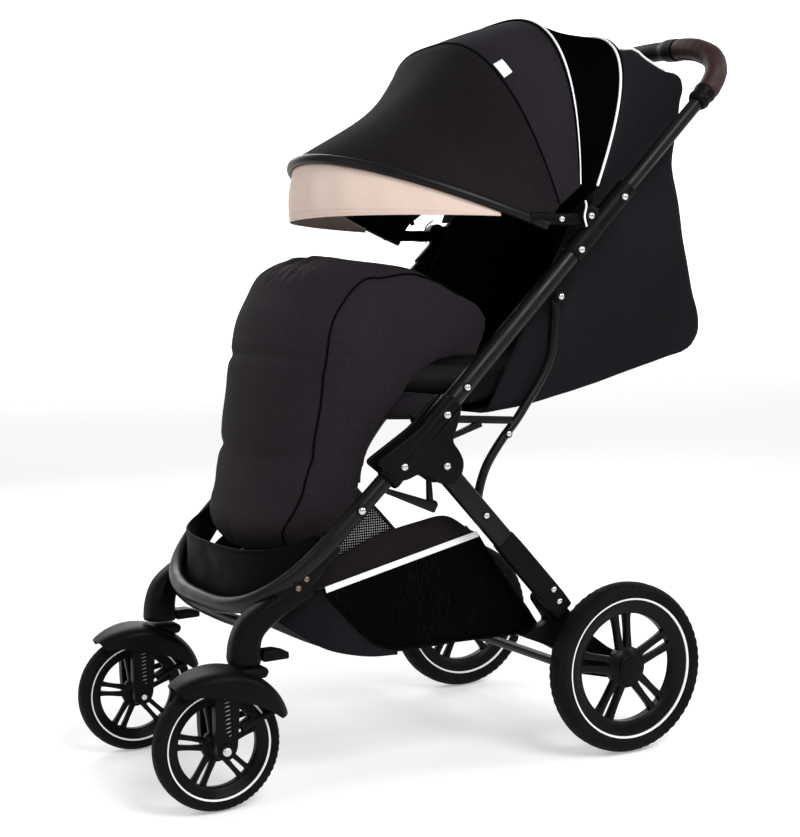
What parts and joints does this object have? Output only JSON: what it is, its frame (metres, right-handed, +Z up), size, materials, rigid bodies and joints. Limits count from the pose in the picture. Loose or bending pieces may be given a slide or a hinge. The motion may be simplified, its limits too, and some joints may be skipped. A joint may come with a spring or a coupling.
{
  "type": "baby stroller",
  "caption": "Folding baby stroller with a telescoping handle, fan canopy, footmuff, basket and swivelling front wheels.",
  "frame": {"origin": "on the floor, under the middle of the bounding box", "axes": "+Z up, -Y towards the front wheels, +X towards the stroller's left side"},
  "size_m": [0.5292, 0.9135, 1.0659],
  "materials": {
    "frame_tube": "satin black painted aluminium",
    "black_plastic": "fine-grained black moulded plastic",
    "tyre": "foam-filled rubber tread",
    "wheel_rim": "semi-gloss moulded wheel",
    "steel": "bright zinc-plated steel",
    "grip_leather": "stitched dark brown leatherette",
    "charcoal_fabric": "charcoal melange woven polyester",
    "muff_fabric": "quilted charcoal melange",
    "cream_fabric": "cream cotton weave",
    "black_mesh": "black warp-knitted mesh",
    "band_leatherette": "glossy black leatherette",
    "piping": "white reflective piping"
  },
  "bodies": {
    "front_frame": {"left_hub_outer_cover": "black_plastic", "right_hub_outer_cover": "black_plastic", "left_hub_inner_cover": "black_plastic", "right_hub_inner_cover": "black_plastic", "left_fold_pivot_pin": "steel", "right_fold_pivot_pin": "steel", "left_front_leg": "black_plastic", "right_front_leg": "black_plastic", "left_seat_bar": "frame_tube", "right_seat_bar": "frame_tube", "front_frame_tube": "frame_tube", "front_cross_bar": "frame_tube", "footrest_band": "band_leatherette", "footmuff": "muff_fabric", "seat_cushion": "charcoal_fabric", "basket": "black_mesh"},
    "rear_frame": {"left_rear_leg": "frame_tube", "right_rear_leg": "frame_tube", "left_axle_bracket": "black_plastic", "right_axle_bracket": "black_plastic", "rear_axle": "steel"},
    "handle_frame": {"left_upper_tube": "frame_tube", "right_upper_tube": "frame_tube", "left_upper_sleeve": "black_plastic", "right_upper_sleeve": "black_plastic", "canopy_rear_bow": "black_plastic", "seat_back_cover": "charcoal_fabric"},
    "handle": {"left_handle_tube": "frame_tube", "right_handle_tube": "frame_tube", "left_handle_grip": "grip_leather", "right_handle_grip": "grip_leather", "handle_centre": "black_plastic"},
    "fold_button": {"fold_button": "black_plastic"},
    "canopy_third": {"canopy_third_bow": "black_plastic", "canopy_vent_panel": "black_mesh"},
    "canopy_second": {"canopy_second_bow": "black_plastic", "canopy_middle_panel": "charcoal_fabric"},
    "canopy_front": {"canopy_front_bow": "black_plastic", "canopy_front_panel": "charcoal_fabric", "canopy_visor": "cream_fabric"},
    "backrest": {"backrest": "charcoal_fabric"},
    "calf_rest": {"calf_rest": "charcoal_fabric"},
    "brake": {"brake_pedal": "black_plastic"},
    "left_caster": {"left_caster_fork": "black_plastic", "left_front_fender": "black_plastic"},
    "left_front_wheel": {"left_front_tyre": "tyre", "left_front_rim": "wheel_rim"},
    "left_rear_wheel": {"left_rear_tyre": "tyre", "left_rear_rim": "wheel_rim"},
    "left_swivel_lock": {"left_swivel_lock": "black_plastic"},
    "left_side_strut": {"left_side_strut": "frame_tube"},
    "right_caster": {"right_caster_fork": "black_plastic", "right_front_fender": "black_plastic"},
    "right_front_wheel": {"right_front_tyre": "tyre", "right_front_rim": "wheel_rim"},
    "right_rear_wheel": {"right_rear_tyre": "tyre", "right_rear_rim": "wheel_rim"},
    "right_swivel_lock": {"right_swivel_lock": "black_plastic"},
    "right_side_strut": {"right_side_strut": "frame_tube"}
  },
  "joints": [
    {"name": "frame_fold", "type": "hinge", "parent": "front_frame", "child": "handle_frame", "pos_m": [0, -0.0481, 0.503], "axis": [1, 0, 0], "range_deg": [0, 110], "deforming": ["seat_back_cover", "footmuff"]},
    {"name": "rear_leg_fold", "type": "hinge", "parent": "front_frame", "child": "rear_frame", "pos_m": [0, -0.0511, 0.434], "axis": [1, 0, 0], "range_deg": [-52.2, 0.1], "deforming": ["basket"]},
    {"name": "left_strut_swing", "type": "hinge", "parent": "handle_frame", "child": "left_side_strut", "pos_m": [0.199, 0.1544, 0.65328], "axis": [1, 0, 0], "range_deg": [-55.1, 0.1]},
    {"name": "right_strut_swing", "type": "hinge", "parent": "handle_frame", "child": "right_side_strut", "pos_m": [-0.199, 0.1544, 0.65328], "axis": [1, 0, 0], "range_deg": [-55.1, 0.1]},
    {"name": "handle_telescope", "type": "slide", "parent": "handle_frame", "child": "handle", "axis": [0, -0.7181, -0.6959], "range_m": [0, 0.16]},
    {"name": "fold_button_press", "type": "slide", "parent": "handle", "child": "fold_button", "axis": [0, -1, 0], "range_m": [0, 0.003], "stiffness_N_per_m": 400, "springref_m": -0.002},
    {"name": "canopy_fold", "type": "hinge", "parent": "canopy_second", "child": "canopy_front", "pos_m": [0, 0.1959, 0.767], "axis": [-1, 0, 0], "range_deg": [0, 40], "deforming": ["canopy_front_panel", "canopy_visor"]},
    {"name": "canopy_second_fold", "type": "hinge", "parent": "canopy_third", "child": "canopy_second", "pos_m": [0, 0.1959, 0.767], "axis": [-1, 0, 0], "range_deg": [-0.1, 10.6], "deforming": ["canopy_middle_panel"]},
    {"name": "canopy_third_fold", "type": "hinge", "parent": "handle_frame", "child": "canopy_third", "pos_m": [0, 0.1959, 0.767], "axis": [-1, 0, 0], "range_deg": [-0.1, 12.9], "deforming": ["canopy_vent_panel"]},
    {"name": "backrest_recline", "type": "hinge", "parent": "front_frame", "child": "backrest", "pos_m": [0, 0.0159, 0.525], "axis": [1, 0, 0], "range_deg": [0, 50]},
    {"name": "calf_rest_tilt", "type": "hinge", "parent": "front_frame", "child": "calf_rest", "pos_m": [0, -0.1751, 0.492], "axis": [-1, 0, 0], "range_deg": [0, 55]},
    {"name": "brake_press", "type": "hinge", "parent": "rear_frame", "child": "brake", "pos_m": [0, 0.1849, 0.114], "axis": [-1, 0, 0], "range_deg": [0, 18]},
    {"name": "left_caster_swivel", "type": "hinge", "parent": "front_frame", "child": "left_caster", "pos_m": [0.174, -0.3271, 0.197], "axis": [0, 0, 1], "continuous": true},
    {"name": "left_front_wheel_spin", "type": "hinge", "parent": "left_caster", "child": "left_front_wheel", "pos_m": [0.174, -0.3701, 0.0866], "axis": [1, 0, 0], "continuous": true},
    {"name": "left_rear_wheel_spin", "type": "hinge", "parent": "rear_frame", "child": "left_rear_wheel", "pos_m": [0.2443, 0.2289, 0.1225], "axis": [1, 0, 0], "continuous": true},
    {"name": "left_swivel_lock_press", "type": "hinge", "parent": "front_frame", "child": "left_swivel_lock", "pos_m": [0.174, -0.3011, 0.214], "axis": [1, 0, 0], "range_deg": [0, 14]},
    {"name": "right_caster_swivel", "type": "hinge", "parent": "front_frame", "child": "right_caster", "pos_m": [-0.174, -0.3271, 0.197], "axis": [0, 0, 1], "continuous": true},
    {"name": "right_front_wheel_spin", "type": "hinge", "parent": "right_caster", "child": "right_front_wheel", "pos_m": [-0.174, -0.3701, 0.0866], "axis": [1, 0, 0], "continuous": true},
    {"name": "right_rear_wheel_spin", "type": "hinge", "parent": "rear_frame", "child": "right_rear_wheel", "pos_m": [-0.2443, 0.2289, 0.1225], "axis": [1, 0, 0], "continuous": true},
    {"name": "right_swivel_lock_press", "type": "hinge", "parent": "front_frame", "child": "right_swivel_lock", "pos_m": [-0.174, -0.3011, 0.214], "axis": [1, 0, 0], "range_deg": [0, 14]}
  ],
  "couplings": [
    {"joint": "rear_leg_fold", "follows": "frame_fold", "ratio": -0.473},
    {"joint": "left_strut_swing", "follows": "frame_fold", "ratio": -0.5},
    {"joint": "right_strut_swing", "follows": "frame_fold", "ratio": -0.5},
    {"joint": "canopy_second_fold", "follows": "canopy_fold", "ratio": 0.26},
    {"joint": "canopy_third_fold", "follows": "canopy_fold", "ratio": 0.32}
  ]
}
